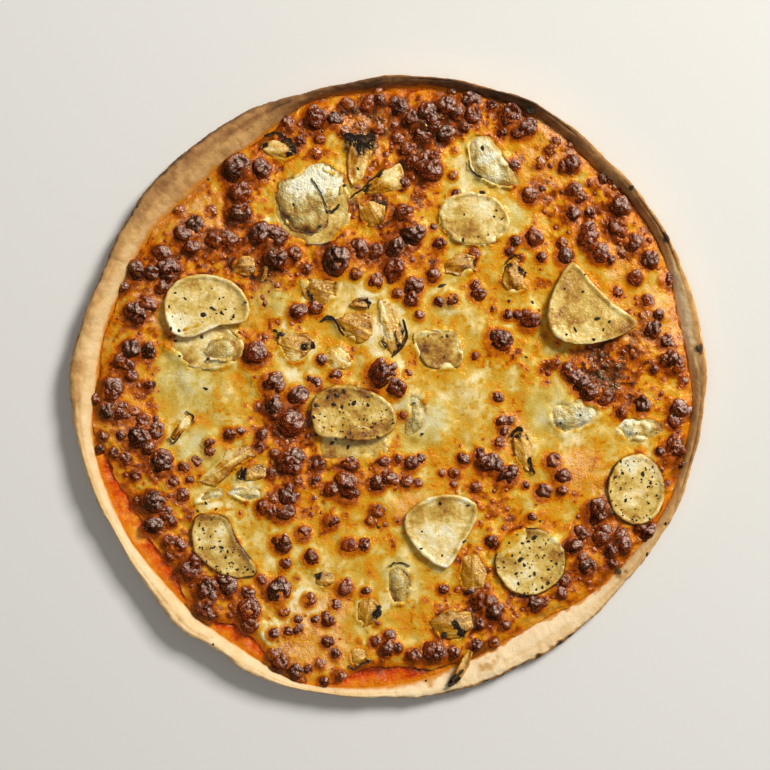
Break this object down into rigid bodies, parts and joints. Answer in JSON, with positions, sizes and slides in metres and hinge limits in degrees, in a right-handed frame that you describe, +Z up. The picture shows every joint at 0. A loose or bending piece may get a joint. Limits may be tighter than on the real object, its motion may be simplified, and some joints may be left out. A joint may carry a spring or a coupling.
{
  "type": "pizza",
  "caption": "Round thin-crust baked pizza with tomato sauce, browned blistered cheese, potato slices, blue cheese and onion; lies flat as one whole piece of food.",
  "frame": {"origin": "under the middle of the pizza, on its underside", "axes": "+Z up through the toppings; +X to the right and +Y away from the viewer in the view from above"},
  "size_m": [0.3204, 0.3121, 0.0153],
  "materials": {
    "dough": "baked dough, matt, browned and charred in places",
    "tomato": "oily tomato sauce, glossy",
    "cheese": "melted, browned and blistered cheese, oily gloss",
    "potato": "moist baked potato, satin",
    "blue_cheese": "half melted blue cheese, satin",
    "onion": "roasted translucent onion, glossy"
  },
  "bodies": {
    "root": {"crust": "dough", "tomato_sauce": "tomato", "cheese": "cheese", "potato_slice_01": "potato", "potato_slice_02": "potato", "potato_slice_03": "potato", "potato_slice_04": "potato", "potato_slice_05": "potato", "potato_slice_06": "potato", "potato_slice_07": "potato", "potato_slice_08": "potato", "potato_slice_09": "potato", "potato_slice_10": "potato", "potato_slice_11": "potato", "potato_slice_12": "potato", "blue_cheese_01": "blue_cheese", "blue_cheese_02": "blue_cheese", "blue_cheese_03": "blue_cheese", "blue_cheese_04": "blue_cheese", "blue_cheese_05": "blue_cheese", "blue_cheese_06": "blue_cheese", "blue_cheese_07": "blue_cheese", "blue_cheese_08": "blue_cheese", "blue_cheese_09": "blue_cheese", "onion_01": "onion", "onion_02": "onion", "onion_03": "onion", "onion_04": "onion", "onion_05": "onion", "onion_06": "onion", "onion_07": "onion", "onion_08": "onion", "onion_09": "onion", "onion_10": "onion", "onion_11": "onion", "onion_12": "onion", "onion_13": "onion", "onion_14": "onion", "onion_15": "onion", "onion_16": "onion", "onion_17": "onion", "onion_18": "onion", "onion_19": "onion", "onion_20": "onion", "onion_21": "onion", "onion_22": "onion", "onion_23": "onion", "onion_24": "onion"}
  },
  "joints": []
}
